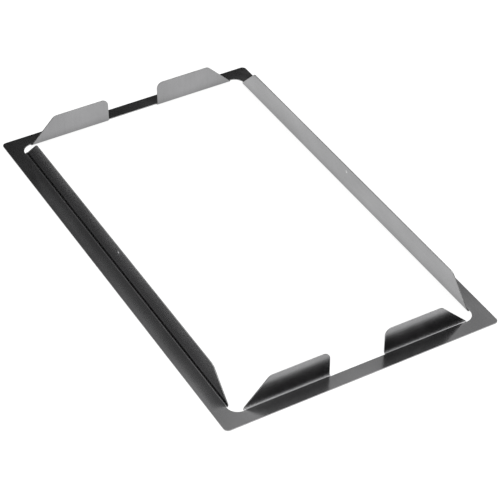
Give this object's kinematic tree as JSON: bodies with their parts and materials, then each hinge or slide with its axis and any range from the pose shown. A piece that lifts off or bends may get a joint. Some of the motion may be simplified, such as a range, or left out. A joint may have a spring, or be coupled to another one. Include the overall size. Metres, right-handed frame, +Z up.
{
  "type": "enlarging easel frame",
  "caption": "Folded sheet-metal frame: a thin flat rim round a rectangular opening, with long walls on its long sides and paired tabs on its short sides.",
  "frame": {"origin": "middle of the flat rim's underside, the plane that the frame rests on", "axes": "+X across the frame, +Y along its long sides, +Z up, the way the walls are folded"},
  "size_m": [0.3, 0.5, 0.0295],
  "materials": {
    "sheet_metal": "satin, darkened gunmetal grey"
  },
  "bodies": {
    "root": {"base_rim": "sheet_metal", "left_side_wall": "sheet_metal", "right_side_wall": "sheet_metal", "near_left_tab": "sheet_metal", "near_right_tab": "sheet_metal", "far_left_tab": "sheet_metal", "far_right_tab": "sheet_metal"}
  },
  "joints": []
}
